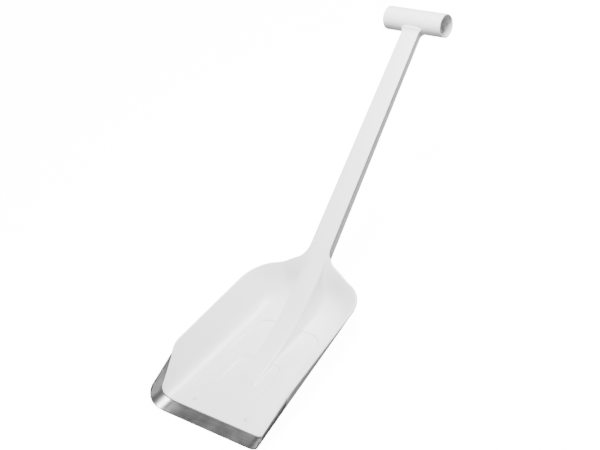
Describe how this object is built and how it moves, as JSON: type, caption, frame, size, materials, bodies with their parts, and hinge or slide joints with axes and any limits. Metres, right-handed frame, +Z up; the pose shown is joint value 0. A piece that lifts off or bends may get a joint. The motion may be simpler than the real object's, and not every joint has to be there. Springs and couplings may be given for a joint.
{
  "type": "camp shovel",
  "caption": "Light moulded scoop shovel with a hollow shaft, a tube T-grip and a riveted metal wear edge, for snow, ash or loose ground.",
  "frame": {"origin": "on the ground under the middle of the shovel's overall box, lying on the flat underside of its pan", "axes": "+X across the shovel to its right, +Y from the cutting edge back towards the grip, +Z up"},
  "size_m": [0.2254, 0.6586, 0.2715],
  "materials": {
    "moulded_plastic": "smooth injection-moulded polypropylene, satin",
    "wear_edge_metal": "bare rolled sheet, lightly scuffed",
    "rivet_paint": "white enamelled aluminium"
  },
  "bodies": {
    "root": {"blade": "moulded_plastic", "shaft": "moulded_plastic", "grip": "moulded_plastic", "wear_edge": "wear_edge_metal", "rivets": "rivet_paint"}
  },
  "joints": []
}
